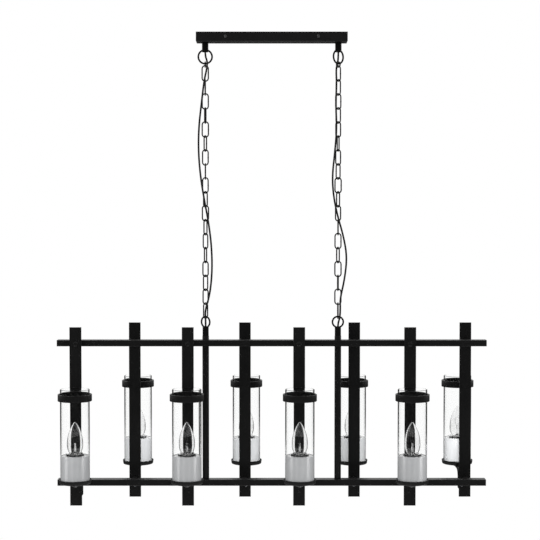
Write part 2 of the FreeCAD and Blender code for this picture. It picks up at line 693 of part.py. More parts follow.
def candle_sleeve(number):
    """Opal sleeve that hides the lampholder, closed at the top but for the bulb's hole."""
    middle, floor = candle_middle(number), dish_floor(number)
    inner_r, top, shoulder = sleeve_r - sleeve_wall, sleeve_high, sleeve_shoulder
    slope = math.sqrt(0.5)
    profile = [
        line((inner_r, 0, 0), (sleeve_r, 0, 0)),
        line((sleeve_r, 0, 0), (sleeve_r, 0, top - shoulder)),
        arc((sleeve_r, 0, top - shoulder),
            (sleeve_r - shoulder + shoulder * slope, 0, top - shoulder + shoulder * slope),
            (sleeve_r - shoulder, 0, top)),
        line((sleeve_r - shoulder, 0, top), (sleeve_hole_r, 0, top)),
        line((sleeve_hole_r, 0, top), (sleeve_hole_r, 0, top - sleeve_wall)),
        line((sleeve_hole_r, 0, top - sleeve_wall), (inner_r, 0, top - sleeve_wall)),
        line((inner_r, 0, top - sleeve_wall), (inner_r, 0, 0)),
    ]
    return turned(profile, Vec(middle.x, middle.y, floor))


def lampholder(number):
    """Small screw lampholder on a nipple, with a lobed flange round its mouth."""
    middle, floor = candle_middle(number), dish_floor(number)
    top = floor + holder_high
    body = rod(holder_r, (0, 0, floor), (0, 0, top))
    nipple = rod(holder_nipple_r, (0, 0, floor), (0, 0, floor - holder_nipple_high))
    star_low = top - holder_star_thick
    star = [rod(holder_star_r, (0, 0, star_low), (0, 0, top))]
    for lobe in range(holder_lobes):
        angle = 2 * math.pi * lobe / holder_lobes
        x, y = holder_star_r * math.cos(angle), holder_star_r * math.sin(angle)
        star.append(rod(holder_lobe_r, (x, y, star_low), (x, y, top)))
    solid = body.fuse([nipple] + star)
    solid = solid.cut(rod(holder_mouth_r, (0, 0, top - holder_mouth_deep), (0, 0, top)))
    solid = solid.cut(rod(holder_bore_r, (0, 0, top - holder_bore_deep), (0, 0, top)))
    solid = solid.cut(rod(cord_bore_r, (0, 0, floor - holder_nipple_high), (0, 0, floor + holder_r)))
    solid.translate(middle)
    return as_solid(solid)


def lampholder_nuts():
    nuts = []
    for number in range(1, bar_count + 1):
        middle, top = candle_middle(number), dish_bottom(number) - arm_thick
        nuts.append(hex_nut(holder_nut_flats, holder_nipple_r + play, (middle.x, middle.y, top),
                            (middle.x, middle.y, top - holder_nut_high)))
    return group(nuts)


def glass(number):
    """Plain clear cylinder, open at both ends, with fire-polished rims."""
    middle, bottom = candle_middle(number), dish_floor(number) + glass_gap
    solid = pipe(glass_r, glass_r - glass_wall, (middle.x, middle.y, bottom), (middle.x, middle.y, bottom + glass_high))
    return as_solid(solid.makeFillet(glass_wall * 0.4, [e for e in solid.Edges if len(e.Vertexes) == 1]))


def bulb(number):
    """Candle bulb: a hollow glass envelope, its screw cap with the contact, and the glass stem."""
    middle = candle_middle(number)
    cap_top = dish_floor(number) + holder_high - bulb_cap_sink
    cap_low = cap_top - bulb_cap_high
    contact = Part.makeCone(bulb_contact_r, bulb_cap_r - 1, bulb_contact_high,
                            Vec(0, 0, cap_low - bulb_contact_high), Z_AXIS)
    cap = as_solid(rod(bulb_cap_r, (0, 0, cap_low), (0, 0, cap_top)).fuse(contact))
    glass_stem = Part.makeCone(bulb_neck_r - 2 * bulb_glass_wall, bulb_stem_r, bulb_stem_high,
                               Vec(0, 0, cap_top), Z_AXIS)
    cap.translate(middle)
    glass_stem.translate(middle)
    return group([cap, bulb_envelope(middle + Z_AXIS * cap_top), glass_stem])


def bulb_envelope(base):
    """Glass wall of the bulb, open below where the cap closes it."""
    envelope = envelope_body(0).cut(envelope_body(bulb_glass_wall))
    envelope.translate(base)
    return as_solid(envelope)


def envelope_body(inset):
    """Body whose face lies inset from the envelope's outside: a neck, a full belly and a drawn tip,
    the first two of them arcs and the tip a short cone with a small flat."""
    top = bulb_glass_high - inset
    neck, belly = bulb_neck_r - inset, bulb_r - inset
    belly_z = bulb_belly_share * bulb_glass_high
    belly_point = (belly, 0, belly_z)
    lower = (neck + 0.76 * (belly - neck), 0, 0.44 * belly_z)
    upper = (0.79 * belly, 0, (belly_z + top) / 2)
    tip = (bulb_tip_r, 0, top - 0.6 * bulb_tip_r)
    flat = (0.4 * bulb_tip_r, 0, top)
    return turned([line((0, 0, 0), (neck, 0, 0)), arc((neck, 0, 0), lower, belly_point),
                   arc(belly_point, upper, tip), line(tip, flat), line(flat, (0, 0, top)),
                   line((0, 0, top), (0, 0, 0))], Vec(0, 0, 0))


# ---- the nodes ---------------------------------------------------------------------------------


def every(maker):
    """One solid for each bar's candle, as one group."""
    return group([maker(number) for number in range(1, bar_count + 1)])


def nodes():
    made = {
        "ceiling_bracket": ceiling_bracket(),
        "canopy": canopy(),
        "canopy_screws": canopy_screws(),
        "canopy_locknuts": canopy_locknuts(),
        "terminal_block": terminal_block(),
        "earth_screw": earth_screw(),
        "canopy_leads": canopy_leads(),
        "stem_leads": stem_leads(),
        "top_rail": rail(top_rail_z, 2),
        "bottom_rail": rail(bottom_rail_z, 1),
        "rail_end_caps": rail_end_caps(),
        "bar_spacers": bar_spacers(),
        "bar_bolts": bar_bolts(),
        "glass_rings": every(glass_ring),
        "ring_screws": ring_screws(),
        "candle_arms": every(candle_arm),
        "arm_screws": arm_screws(),
        "arm_nuts": arm_nuts(),
        "candle_dishes": every(candle_dish),
        "candle_sleeves": every(candle_sleeve),
        "lampholders": every(lampholder),
        "lampholder_nuts": lampholder_nuts(),
    }
    for side in hang_x:
        made["canopy_loop_" + side] = canopy_loop(side)
        made[side + "_jump_ring"] = jump_ring(side)
        made[side + "_chain_links"] = chain_links(side, 0, upper_links)
        made[side + "_lower_links"] = chain_links(side, upper_links, links_per_chain)
        made["cord_" + side] = cord(side)
        made["frame_loop_" + side] = frame_loop(side)
        made["stem_" + side] = stem(side)
    for number in range(1, bar_count + 1):
        made["bar_%d" % number] = bar(number)
        made["glass_%d" % number] = glass(number)
        made["bulb_%d" % number] = bulb(number)
    return made


os.makedirs("parts", exist_ok=True)
for node_name, shape in nodes().items():
    shape.exportStep("parts/" + node_name + ".step")
print("hinge heights: swing", round(swing_z, 2), "sway", round(sway_z, 2), "lower sway", round(lower_sway_z, 2),
      "tilt", round(tilt_z, 2), "rails", round(top_rail_z, 2), round(bottom_rail_z, 2))
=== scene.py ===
# %% [markdown]
# # A linear pendant with eight candle glasses
# The imported CAD model is the skeleton of this scene: every piece below hangs on one of its bodies and
# keeps its place. The skeleton could also be modelled again by hand, but then nothing would promise
# that the joints and sizes still hold.

# %% Load the imported part
import math

import bpy
import numpy as np
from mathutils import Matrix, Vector


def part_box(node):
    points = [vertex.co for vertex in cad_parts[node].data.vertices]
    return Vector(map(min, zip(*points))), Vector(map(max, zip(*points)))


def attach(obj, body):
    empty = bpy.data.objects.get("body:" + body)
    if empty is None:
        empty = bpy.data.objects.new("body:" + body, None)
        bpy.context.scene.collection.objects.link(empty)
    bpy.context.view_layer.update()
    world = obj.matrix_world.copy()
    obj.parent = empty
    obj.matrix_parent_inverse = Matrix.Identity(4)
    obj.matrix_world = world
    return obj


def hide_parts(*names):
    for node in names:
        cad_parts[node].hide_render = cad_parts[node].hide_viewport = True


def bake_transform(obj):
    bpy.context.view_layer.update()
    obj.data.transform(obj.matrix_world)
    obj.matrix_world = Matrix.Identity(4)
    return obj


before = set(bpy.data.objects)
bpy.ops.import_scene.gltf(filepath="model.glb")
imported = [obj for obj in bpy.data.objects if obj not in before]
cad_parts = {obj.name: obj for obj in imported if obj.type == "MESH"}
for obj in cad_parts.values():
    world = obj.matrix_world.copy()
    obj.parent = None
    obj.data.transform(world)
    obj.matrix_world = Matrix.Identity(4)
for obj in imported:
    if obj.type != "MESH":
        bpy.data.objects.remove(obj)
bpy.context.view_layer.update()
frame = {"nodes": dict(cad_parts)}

nodes, scene = frame["nodes"], bpy.context.scene

# %% [markdown]
# ## The camera
# The photograph was taken from about three metres with a long lens, level with the chains and pitched
# down a little: the rails' top faces just show, and the row of candles behind looks only slightly
# smaller than the row in front. A camera can be nudged until it looks right, but here its place and
# focal length came from the measured places of the bars, rings and dishes of both rows.

# %% Camera
focal_in_pixels, picture_width = 1400.0, 540
camera_place, pitched_down = (-0.00396, -3.17, -0.421), 2.046
lens = bpy.data.cameras.new("camera")
lens.sensor_width = 36.0
lens.lens = lens.sensor_width * focal_in_pixels / picture_width
camera = bpy.data.objects.new("camera", lens)
camera.location = camera_place
camera.rotation_euler = (math.radians(90 - pitched_down), 0, 0)
scene.collection.objects.link(camera)
scene.camera = camera
print("lens", round(lens.lens, 2), "mm")

# %% [markdown]
# ## The cords' routes
# Each chain carries a thin round cord that is threaded loosely through and beside the links, from the
# collar on the canopy to the collar on the frame. Its length is fixed, so the line comes first and the
# round sheath after. The line could be drawn by hand in the viewport; written as control points of one
# NURBS curve it is smooth everywhere and can be changed by moving one point. The points beside a ring
# turn with that ring, and the right cord passes its rings on the other side.

# %% Control points, in metres from each chain's line
chain_x = {"left": -0.150, "right": 0.150}
ring_turn = {"canopy_left": 0.0, "canopy_right": 43.0, "frame_left": -38.0, "frame_right": 0.0}
near_canopy_ring = np.array([(0, 0, -0.035), (0, 0, -0.052), (0.0050, -0.0065, -0.064),
                             (0.0045, -0.0115, -0.080)])
near_frame_ring = np.array([(0.0060, -0.0085, -0.625), (0.0046, -0.0056, -0.644), (0, 0, -0.656),
                            (0, 0, -0.6704)])
middle_route = {
    "left": np.array([(-0.0020, -0.0125, -0.108), (-0.0080, -0.0110, -0.158), (-0.0145, -0.0070, -0.212),
                      (-0.0155, -0.0055, -0.268), (-0.0105, -0.0090, -0.325), (-0.0020, -0.0125, -0.376),
                      (0.0075, -0.0120, -0.426), (0.0140, -0.0080, -0.479), (0.0155, -0.0070, -0.535),
                      (0.0105, -0.0095, -0.588)]),
    "right": np.array([(-0.0030, 0.0130, -0.110), (-0.0050, 0.0125, -0.160), (-0.0025, 0.0125, -0.214),
                       (-0.0070, 0.0115, -0.268), (-0.0130, 0.0085, -0.322), (-0.0100, 0.0105, -0.366),
                       (-0.0010, 0.0130, -0.410), (0.0125, 0.0095, -0.456), (0.0210, 0.0055, -0.504),
                       (0.0155, 0.0080, -0.556), (0.0055, 0.0115, -0.600)]),
}


def turned_about(points, degrees):
    """Points turned about the vertical: x cos a - y sin a, x sin a + y cos a, z."""
    c, s = math.cos(math.radians(degrees)), math.sin(math.radians(degrees))
    return points @ np.array([[c, s, 0], [-s, c, 0], [0, 0, 1]])


def cord_points(side):
    """All control points of one cord: its middle route, between the points beside both rings, which are
    mirrored in y for the right cord. Then all of them move to the chain's line."""
    flip = np.array([1, 1 if side == "left" else -1, 1])
    route = np.vstack([turned_about(near_canopy_ring * flip, ring_turn["canopy_" + side]),
                       middle_route[side],
                       turned_about(near_frame_ring * flip, ring_turn["frame_" + side])])
    return route + [chain_x[side], 0, 0]


print("control points:", {side: len(cord_points(side)) for side in chain_x})

# %% The line of each cord
def smooth_line(control):
    """Points read from the open NURBS curve of order 3 that has these control points."""
    curve = bpy.data.curves.new("cord_line", "CURVE")
    curve.dimensions = "3D"
    spline = curve.splines.new("NURBS")
    spline.points.add(len(control) - 1)
    spline.points.foreach_set("co", np.column_stack([control, np.ones(len(control))]).ravel())
    spline.order_u = 3
    spline.use_endpoint_u = True
    spline.resolution_u = 14
    holder = bpy.data.objects.new("cord_line", curve)
    mesh = bpy.data.meshes.new_from_object(holder)
    line = np.zeros(len(mesh.vertices) * 3)
    mesh.vertices.foreach_get("co", line)
    bpy.data.meshes.remove(mesh)
    bpy.data.curves.remove(curve)
    return line.reshape(-1, 3)


def length_of(line):
    """The sum of the distances between neighbouring points."""
    return float(np.linalg.norm(np.diff(line, axis=0), axis=1).sum())


cord_line = {side: smooth_line(cord_points(side)) for side in chain_x}
for side, line in cord_line.items():
    print("cord", side, len(line), "points,", round(length_of(line), 4), "m")

# %% [markdown]
# ## From grids to meshes
# Almost every new piece is a grid of points: rows along a profile or a path, columns round it. Ready
# primitives and modifiers could make the same shapes, but a grid keeps the formula in sight and is
# worked out at once as an array. A grid either closes on itself in both directions, like a ring, or has
# a flat cap on its first and last row. The signed volume tells which way its faces point.

# %% Faces of a grid
def quads_round(rows, columns, ring):
    """Quads of a grid whose columns close on themselves: corner (i, j) with (i, j+1), (i+1, j+1) and
    (i+1, j), counted round; the last row joins the first one where ring is true."""
    i, j = np.meshgrid(np.arange(rows if ring else rows - 1), np.arange(columns), indexing="ij")
    below, beside = (i + 1) % rows, (j + 1) % columns
    corners = [i * columns + j, i * columns + beside, below * columns + beside, below * columns + j]
    return np.stack(corners, -1).reshape(-1, 4)


def signed_volume(points, faces):
    """Sum over all triangles of a face's fan of a . (b x c) / 6: positive where faces point outwards."""
    total = 0.0
    for group in faces:
        p = points[group]
        first = p[:, :1]
        total += np.einsum("nij,nij->", first.repeat(p.shape[1] - 2, 1), np.cross(p[:, 1:-1], p[:, 2:])) / 6
    return total


def shell(grid, ring=False):
    """A closed surface from a grid (rows, columns, 3): points and groups of faces that point outwards."""
    rows, columns = grid.shape[:2]
    faces = [quads_round(rows, columns, ring)]
    if not ring:
        faces += [np.arange(columns)[None, ::-1], (rows - 1) * columns + np.arange(columns)[None]]
    points = grid.reshape(-1, 3)
    if signed_volume(points - points.mean(0), faces) < 0:
        faces = [group[:, ::-1] for group in faces]
    return points, faces


print("a closed ring of 6 by 4 points has", len(quads_round(6, 4, True)), "quads")

# %% Copies and meshes
def copies(part, places, turns=0.0):
    """The same shell at each place, turned there about the vertical by its angle in degrees."""
    points, faces = part
    places = np.atleast_2d(np.array(places, float))
    angle = np.radians(np.broadcast_to(turns, len(places)))[:, None]
    x, y, z = points.T
    spun = np.stack([x * np.cos(angle) - y * np.sin(angle), x * np.sin(angle) + y * np.cos(angle),
                     np.broadcast_to(z, (len(places), len(z)))], -1)
    step = (np.arange(len(places)) * len(points))[:, None, None]
    groups = [(face + step).reshape(-1, face.shape[1]) for face in faces]
    return (spun + places[:, None]).reshape(-1, 3), groups


def piece(name, parts, body, stands_for, unit=0.001, sharp=32.0):
    """One mesh object from closed shells, in millimetres unless unit says otherwise: smooth, with an edge
    kept sharp where its faces turn by more than sharp degrees. It rides on its body if it has one; a
    length of cord has none."""
    counts = np.cumsum([0] + [len(points) for points, _ in parts])
    groups = [f + start for (_, faces), start in zip(parts, counts) for f in faces]
    sizes = np.concatenate([np.full(len(g), g.shape[1]) for g in groups])
    mesh = bpy.data.meshes.new(name)
    mesh.vertices.add(int(counts[-1]))
    mesh.vertices.foreach_set("co", (np.vstack([p for p, _ in parts]) * unit).astype(np.float32).ravel())
    mesh.loops.add(int(sizes.sum()))
    mesh.loops.foreach_set("vertex_index", np.concatenate([g.ravel() for g in groups]).astype(np.int32))
    mesh.polygons.add(len(sizes))
    mesh.polygons.foreach_set("loop_start", (np.cumsum(sizes) - sizes).astype(np.int32))
    mesh.update(calc_edges=True)
    mesh.shade_smooth()
    mesh.set_sharp_from_angle(angle=math.radians(sharp))
    made = bpy.data.objects.new(name, mesh)
    scene.collection.objects.link(made)
    if body:
        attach(made, body)
    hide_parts(*stands_for)
    print(name, len(sizes), "faces")
    return made


# %% [markdown]
# ## Sections carried along a path
# Wire rings, chain links, cords and flat strips are all one section carried along a line. The curve
# object's bevel does this too, but it gives no say over the seam or over a swelling such as a weld. The
# frame at each point comes from the tangent and one fixed axis that the path never runs along, so that
# the section doesn't twist on its way.

# %% Sections and sweeps
def circle(radius, sides):
    """Points radius * (cos t, sin t), evenly round."""
    t = np.linspace(0, 2 * np.pi, sides, endpoint=False)
    return radius * np.stack([np.cos(t), np.sin(t)], 1)


def rounded(corners, radii, steps=5):
    """A closed outline with an arc at each corner. The arc touches both sides at radius / tan(half
    angle) from the corner, and its points are centre + radius * the even turn between both touches."""
    p = np.array(corners, float)
    r = np.broadcast_to(radii, len(p))[:, None].astype(float)
    u, v = np.roll(p, 1, 0) - p, np.roll(p, -1, 0) - p
    u, v = (w / np.linalg.norm(w, axis=1, keepdims=True) for w in (u, v))
    half = np.arccos(np.clip((u * v).sum(1, keepdims=True), -1, 1)) / 2
    bisector = (u + v) / np.linalg.norm(u + v, axis=1, keepdims=True)
    centre = p + bisector * r / np.sin(half)
    from_u, from_v = p + u * r / np.tan(half) - centre, p + v * r / np.tan(half) - centre
    turn, t = (np.pi - 2 * half)[:, None], np.linspace(0, 1, steps)[None, :, None]
    arcs = (np.sin((1 - t) * turn) * from_u[:, None] + np.sin(t * turn) * from_v[:, None]) / np.sin(turn)
    return (centre[:, None] + arcs).reshape(-1, 2)


def swept(path, section, axis, ring=False, swell=None):
    """Point = path + a * across + b * up, where across = tangent x axis, made one long, and up = across x
    tangent; swell is how much wider the section is at each point of the path."""
    path = np.array(path, float)
    along = np.roll(path, -1, 0) - np.roll(path, 1, 0) if ring else np.gradient(path, axis=0)
    along /= np.linalg.norm(along, axis=1, keepdims=True)
    across = np.cross(along, axis)
    across /= np.linalg.norm(across, axis=1, keepdims=True)
    up = np.cross(across, along)
    wide = np.ones(len(path)) if swell is None else np.asarray(swell)
    a, b = section[None, :, 0, None], section[None, :, 1, None]
    grid = path[:, None] + wide[:, None, None] * (a * across[:, None] + b * up[:, None])
    return shell(grid, ring)


print("a square with rounded corners:", len(rounded([(0, 0), (1, 0), (1, 1), (0, 1)], 0.2)), "points")

# %% [markdown]
# ## The cords
# A cord bends where the chain bends: at the ring under the canopy, at the jump ring, at the lower sway
# pivot and at the ring on the frame. One skin over all of them can't follow four joints, so each cord
# is cut into four lengths, and each length crosses one joint. The lengths ride on no body.

# %% Four lengths of each cord
cord_thick = 0.0042
cuts = (-0.0350, -0.07285, -0.540, -0.612, -0.6704)
bends = ((-0.0650, -0.0728), (-0.0729, -0.0805), (-0.560, -0.601), (-0.624, -0.656))


def between(line, high, low):
    """The part of a falling line between two heights. The two ends are where straight runs between
    neighbouring points reach these heights."""
    ends = np.stack([np.interp([-high, -low], -line[:, 2], line[:, k]) for k in range(3)], 1)
    inside = line[(line[:, 2] < high - 1e-4) & (line[:, 2] > low + 1e-4)]
    return np.vstack([ends[:1], inside, ends[1:]])


cord_pieces = []
for side, line in cord_line.items():
    for number, (high, low, bend) in enumerate(zip(cuts, cuts[1:], bends)):
        run = between(line, high, low)
        made = piece("cord_%s_%d" % (side, number + 1), [swept(run, circle(cord_thick / 2, 16), (1, 0, 0))],
                     None, ["cord_" + side], unit=1.0)
        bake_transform(made)
        cord_pieces.append(made)

# %% [markdown]
# ## Finishes as sums
# A finish is a small network of shader nodes. Nodes can be wired by hand one at a time, but a rule such
# as "rougher where the cloud is dense" reads best as a sum. So one class stands for a number that
# varies over the surface, and adding or multiplying two of them adds the Math node. Every other node
# comes from one method that takes its kind, its settings and what goes into its sockets.

# %% Signals
class Signal:
    """A number that varies over the surface. Each operator adds the Math node of its name."""

    def __init__(self, finish, socket):
        self.finish, self.socket = finish, socket

    def _math(self, operation, first, second):
        return self.finish.node("ShaderNodeMath", {"operation": operation}, {0: first, 1: second})[0]

    def __add__(self, other):
        return self._math("ADD", self, other)

    def __sub__(self, other):
        return self._math("SUBTRACT", self, other)

    def __rsub__(self, other):
        return self._math("SUBTRACT", other, self)

    def __mul__(self, other):
        return self._math("MULTIPLY", self, other)

    def __gt__(self, other):
        return self._math("GREATER_THAN", self, other)

    __radd__, __rmul__ = __add__, __mul__


# %% Finishes
class Finish:
    """The nodes of one material, or of the world: node() adds to them, coat() makes a surface."""

    def __init__(self, name, owner=None):
        self.owner = owner or bpy.data.materials.new(name)
        self.owner.use_nodes = True
        self.tree = self.owner.node_tree
        self.tree.nodes.clear()

    def node(self, kind, settings=None, sockets=None):
        """Adds a node: its settings first, then a value or a link in each socket. Gives its outputs."""
        made = self.tree.nodes.new(kind)
        for key, value in (settings or {}).items():
            setattr(made, key, value)
        for key, value in (sockets or {}).items():
            if isinstance(value, Signal):
                self.tree.links.new(value.socket, made.inputs[key])
            else:
                made.inputs[key].default_value = value
        return [Signal(self, socket) for socket in made.outputs]

    def place(self):
        """Where on the object a point is, in metres."""
        return self.node("ShaderNodeTexCoord")[3]

    def noise(self, scale, detail=3.0, stretch=(1, 1, 1)):
        """Cloudy numbers about 0.5; stretch above 1 packs them along that axis."""
        spot = self.node("ShaderNodeMapping", {}, {"Vector": self.place(), "Scale": stretch})[0]
        return self.node("ShaderNodeTexNoise", {}, {"Vector": spot, "Scale": scale, "Detail": detail})[0]

    def mix(self, share, first, second):
        """Colour that goes from first to second as share goes from 0 to 1."""
        return self.node("ShaderNodeMix", {"data_type": "RGBA"}, {0: share, 6: first, 7: second})[2]

    def bump(self, height, depth):
        """Normals of a surface raised by height times depth, in metres."""
        return self.node("ShaderNodeBump", {}, {"Height": height, "Strength": 1.0, "Distance": depth})[0]

    def coat(self, **sockets):
        """A Principled surface; a socket's name has _ for a space. Returns the surface's signal."""
        named = {key.replace("_", " "): value for key, value in sockets.items()}
        return self.node("ShaderNodeBsdfPrincipled", {}, named)[0]

    def end(self, surface):
        """Joins the surface to the material's output and gives the material."""
        self.node("ShaderNodeOutputMaterial", {}, {"Surface": surface})
        return self.owner


def grey(level):
    """A neutral colour of that linear level."""
    return (level, level, level, 1.0)


def dress(made, finish):
    """Gives an object its finish, and the object back."""
    made.data.materials.append(finish)
    return made


# %% [markdown]
# ## Satin black metal
# Bars, rails, rings and dishes are powder-coated: a nearly black skin with a soft sheen and a very fine
# orange peel that only shows in the highlights. A flat dark colour would look like a hole in the
# picture, so a slow cloud varies how dark and how rough the skin is, and a fine grain tilts it. The
# wire of chains and loops has a thinner, deeper black with less sheen.

# %% Black skins
def black_skin(name, dark, light, rough, peel, sheen):
    """Powder coat: colour and roughness follow a slow cloud, the normals a fine grain."""
    skin = Finish(name)
    cloud, grain = skin.noise(22.0, 4.0), skin.noise(1400.0, 2.0)
    return skin.end(skin.coat(
        Base_Color=skin.mix(cloud, dark, light), Roughness=rough + 0.10 * (cloud - 0.5),
        Normal=skin.bump(grain, peel), Specular_IOR_Level=sheen))


satin_black = black_skin("satin_black", grey(0.006), grey(0.011), 0.42, 0.00001, 0.34)
wire_black = black_skin("wire_black", grey(0.004), grey(0.009), 0.44, 0.00001, 0.12)
print("made", satin_black.name, "and", wire_black.name)

# %% [markdown]
# ## Cord sheath and cores
# The sheath is smooth black plastic drawn over twisted cores, so it is neither glossy nor woven. The
# cores inside the canopy are brown; they hardly show, but a look from above finds them. Both are a
# plain plastic whose tone drifts a little along the length.

# %% Plastics
def plastic(name, dark, light, rough):
    """Tone drifts with a stretched cloud, so it runs along the cord and not round it."""
    skin = Finish(name)
    drift = skin.noise(60.0, 2.0, (1, 1, 0.25))
    return skin.end(skin.coat(
        Base_Color=skin.mix(drift, dark, light), Roughness=rough + 0.12 * (drift - 0.5),
        Normal=skin.bump(skin.noise(2200.0, 2.0), 0.00001), Specular_IOR_Level=0.4))


sheath_black = plastic("sheath_black", grey(0.006), grey(0.014), 0.42)
core_brown = plastic("core_brown", (0.09, 0.030, 0.012, 1), (0.15, 0.055, 0.022, 1), 0.40)
block_white = plastic("block_white", (0.62, 0.61, 0.56, 1), (0.74, 0.73, 0.69, 1), 0.5)
for made in cord_pieces:
    dress(made, sheath_black)
print(len(cord_pieces), "lengths of cord have their sheath")

# %% [markdown]
# ## Chains
# A welded link is a round wire bent to an oval, with a small swelling on one straight side where its
# ends were butted together. Each link is crossed with the next one, and none hangs quite square: the
# chain's twist runs from one ring to the other and the links lie uneasily between. An Array modifier
# could repeat one link, but all of them would hang alike, so each copy here gets a turn of its own.

# %% One link, in millimetres
link_wire, half_wide, half_long = 3.0, 7.0, 17.4
arc_steps, weld_steps, weld_half, weld_swell = 9, 5, 1.6, 0.13
oval = rounded([(half_wide, -half_long), (half_wide, half_long), (-half_wide, half_long),
                (-half_wide, -half_long)], half_wide - 0.01, arc_steps)
weld = np.stack([np.full(weld_steps, half_wide), np.linspace(-weld_half, weld_half, weld_steps)], 1)
oval = np.vstack([oval[:arc_steps], weld, oval[arc_steps:]])
swelling = np.ones(len(oval))
swelling[arc_steps:arc_steps + weld_steps] += weld_swell * np.cos(np.linspace(-1.45, 1.45, weld_steps))
wire_line = np.stack([oval[:, 0], 0 * oval[:, 0], oval[:, 1]], 1)
link = swept(wire_line, circle(link_wire / 2, 12), (0, 1, 0), True, swelling)
print("one link is", round(length_of(np.vstack([wire_line, wire_line[:1]])), 1), "mm of wire")

# %% Heights and turns of the links
link_pitch, first_link, links_per_chain, upper_links = 31.5, -90.8, 18, 16
wave_high, wave_step = 20, 115


def link_turns(side, numbers):
    """Every second link crossed, the twist from ring to ring, and a wave that dies out at both ends:
    wave_high * sin(wave_step * number) * sin(pi * share of the chain's length)."""
    along, phase = numbers / (links_per_chain - 1), 0 if side == "left" else 60
    start, end = ring_turn["canopy_" + side], ring_turn["frame_" + side]
    wave = wave_high * np.sin(np.radians(wave_step * numbers + phase)) * np.sin(np.pi * along)
    return start + (end - start) * along + 90 * (numbers % 2) + wave


# %% Hang the links
for side, x in chain_x.items():
    for name, low, high, body in (("chain_links", 0, upper_links, "chain"),
                                  ("lower_links", upper_links, links_per_chain, "chain_end")):
        numbers = np.arange(low, high)
        middles = np.stack([0 * numbers + 1000 * x, 0 * numbers, first_link - numbers * link_pitch], 1)
        dress(piece("%s_%s" % (name, side), [copies(link, middles, link_turns(side, numbers))],
                    "%s_%s" % (side, body), ["%s_%s" % (side, name)]), wire_black)

# %% [markdown]
# ## Turned shapes
# Collars, stems, glasses, sleeves, dishes and bulbs are all turned: an outline of radius and height
# carried round a vertical line. The Spin and Screw tools do that too, but leave doubled points at the
# seam. Here a closed outline gives a shape with a bore, and an open one that starts and ends near the
# axis gives a shape without a bore, closed by two tiny caps.

# %% Turning, and rings of wire
def turned(outline, sides=96, bored=True):
    """Outline points (radius, height) carried round: x = r cos t, y = r sin t, z = height."""
    t = np.linspace(0, 2 * np.pi, sides, endpoint=False)
    r, z = np.array(outline, float).T
    grid = np.stack([np.outer(r, np.cos(t)), np.outer(r, np.sin(t)), np.outer(z, np.ones(sides))], -1)
    return shell(grid, ring=bored)


def tube_outline(outer, inner, low, high, edge):
    """Outline of a tube with rounded edges."""
    return rounded([(inner, low), (outer, low), (outer, high), (inner, high)], edge)


def wire_ring(middle_radius, wire, height):
    """Round wire carried round an upright circle whose centre is at that height."""
    ring_path = circle(middle_radius, 72)
    path = np.stack([ring_path[:, 0], 0 * ring_path[:, 0], ring_path[:, 1] + height], 1)
    return swept(path, circle(wire / 2, 18), (0, 1, 0), True)


def at(x, y=0.0, z=0.0):
    """One place, for copies()."""
    return np.array([[x, y, z]], float)


print("a turned tube has", len(turned(tube_outline(2, 1, 0, 1, 0.1))[0]), "points")

# %% [markdown]
# ## Loops and jump rings
# Under the canopy and on top of each stem sits a short turned collar with a wire ring let into it; the
# cord comes out of the collar's bore and passes beside the ring's wire. A small jump ring joins the
# canopy's ring to the first link. The collars are turned and the rings swept, because that is how the
# real ones are made, and their edges are broken just enough to catch a line of light.

# %% Collars and rings, in millimetres
cord_bore, loop_wire = 2.5, 4.0
canopy_collar = turned(tube_outline(7.25, cord_bore, -43.0, -21.0, 0.6), 48)
canopy_nipple = turned(tube_outline(4.9, cord_bore, -22.0, -13.3, 0.3), 36)
canopy_ring = wire_ring(15.5, loop_wire, -53.5)
jump_ring = wire_ring(5.75, link_wire, -70.95)
frame_ring = wire_ring(12.25, loop_wire, -652.15)
frame_collar = turned(rounded([(cord_bore, -683.4), (7.0, -683.4), (7.0, -662.4), (cord_bore, -662.4)],
                              (0.2, 0.4, 1.1, 0.4)), 48)
frame_plug = turned(tube_outline(6.2, cord_bore, -693.4, -682.6, 0.2), 36)
print("the canopy's ring has", len(canopy_ring[0]), "points")

# %% Hang the loops
for side, x in chain_x.items():
    spot, canopy_turn, frame_turn = at(1000 * x), ring_turn["canopy_" + side], ring_turn["frame_" + side]
    dress(piece("canopy_loop_dressed_" + side,
                [copies(canopy_collar, spot), copies(canopy_nipple, spot),
                 copies(canopy_ring, spot, canopy_turn)],
                "ceiling", ["canopy_loop_" + side]), wire_black)
    dress(piece("jump_ring_dressed_" + side, [copies(jump_ring, spot, canopy_turn + 90)],
                side + "_jump_link", [side + "_jump_ring"]), wire_black)
    dress(piece("frame_loop_dressed_" + side,
                [copies(frame_collar, spot), copies(frame_plug, spot),
                 copies(frame_ring, spot, frame_turn)],
                "frame", ["frame_loop_" + side]), wire_black)
    stem_low, stem_high = (1000 * corner.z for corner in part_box("stem_" + side))
    stem = turned(tube_outline(7.5, 6.3, stem_low, stem_high, 0.25), 48)
    dress(piece("stem_dressed_" + side, [copies(stem, spot)], "frame", ["stem_" + side]),
          satin_black)

# %% [markdown]
# ## Places of the candles
# Each bar carries a candle in front of the rails or behind them. Everything that belongs to a candle
# hangs on one vertical line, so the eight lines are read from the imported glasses, and no number has to
# be kept in step by hand. A glass stands a hair above its dish's floor.

